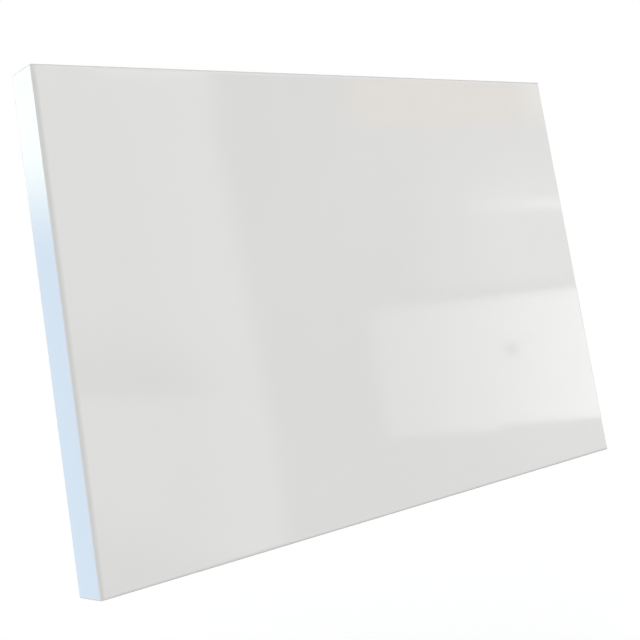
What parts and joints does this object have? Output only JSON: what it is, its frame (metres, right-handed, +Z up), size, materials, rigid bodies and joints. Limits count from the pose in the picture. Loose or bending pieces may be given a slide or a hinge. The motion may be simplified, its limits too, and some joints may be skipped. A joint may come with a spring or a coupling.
{
  "type": "infrared panel heater",
  "caption": "Wall-hung infrared panel heater: a flat glossy white steel casing that lifts off a hook-on wall frame.",
  "frame": {"origin": "on the wall, at the middle of the upper wall rail's back face, midway between its two screw slots", "axes": "+Z up, +Y into the wall, +X to the right as seen from the front; the warm face looks along -Y"},
  "size_m": [0.9, 0.0803, 0.6],
  "materials": {
    "white_enamel": "gloss",
    "galvanised_steel": "satin",
    "white_powder_coat": "satin",
    "plated_steel": "satin",
    "mica": "satin",
    "heating_alloy": "satin",
    "aluminium_foil": "polished",
    "mineral_wool": "matte",
    "grey_plastic": "satin",
    "white_plastic": "satin",
    "black_rubber": "matte",
    "brass": "satin",
    "brown_wire": "satin",
    "blue_wire": "satin",
    "green_wire": "satin",
    "white_wire": "satin"
  },
  "bodies": {
    "wall_frame": {"wall_rail_upper": "white_powder_coat", "wall_rail_lower": "white_powder_coat", "wall_upright_left": "white_powder_coat", "wall_upright_right": "white_powder_coat", "wall_rivet_upper_left": "plated_steel", "wall_rivet_upper_right": "plated_steel", "wall_rivet_lower_left": "plated_steel", "wall_rivet_lower_right": "plated_steel"},
    "panel": {"casing": "white_enamel", "back_cover": "galvanised_steel", "hanger_rail_upper": "galvanised_steel", "hanger_rail_lower": "galvanised_steel", "limiter_bracket": "galvanised_steel", "cover_screw_1": "plated_steel", "cover_screw_2": "plated_steel", "cover_screw_3": "plated_steel", "cover_screw_4": "plated_steel", "cover_screw_5": "plated_steel", "cover_screw_6": "plated_steel", "cover_screw_7": "plated_steel", "cover_screw_8": "plated_steel", "cover_screw_9": "plated_steel", "cover_screw_10": "plated_steel", "lid_screw_1": "plated_steel", "lid_screw_2": "plated_steel", "lid_screw_3": "plated_steel", "lid_screw_4": "plated_steel", "hanger_rivet_upper_left": "plated_steel", "hanger_rivet_upper_right": "plated_steel", "hanger_rivet_lower_left": "plated_steel", "hanger_rivet_lower_right": "plated_steel", "box_rivet_upper": "plated_steel", "box_rivet_lower": "plated_steel", "mica_front": "mica", "mica_back": "mica", "heating_element": "heating_alloy", "reflector_foil": "aluminium_foil", "insulation_board": "mineral_wool", "box_base": "grey_plastic", "box_lid": "grey_plastic", "gland_body": "grey_plastic", "gland_nut": "grey_plastic", "gland_locknut": "grey_plastic", "terminal_block": "white_plastic", "thermal_limiter": "white_plastic", "box_gasket": "black_rubber", "wire_grommet": "black_rubber", "gland_seal": "black_rubber", "wall_bumper_left": "black_rubber", "wall_bumper_right": "black_rubber", "element_tab_line": "brass", "element_tab_neutral": "brass", "earth_stud": "brass", "earth_nut": "brass", "wire_line": "brown_wire", "wire_neutral": "blue_wire", "wire_earth": "green_wire", "wire_limiter": "white_wire"}
  },
  "joints": [
    {"name": "panel_lift", "type": "slide", "parent": "wall_frame", "child": "panel", "axis": [0, 0, 1], "range_m": [0, 0.012]}
  ]
}
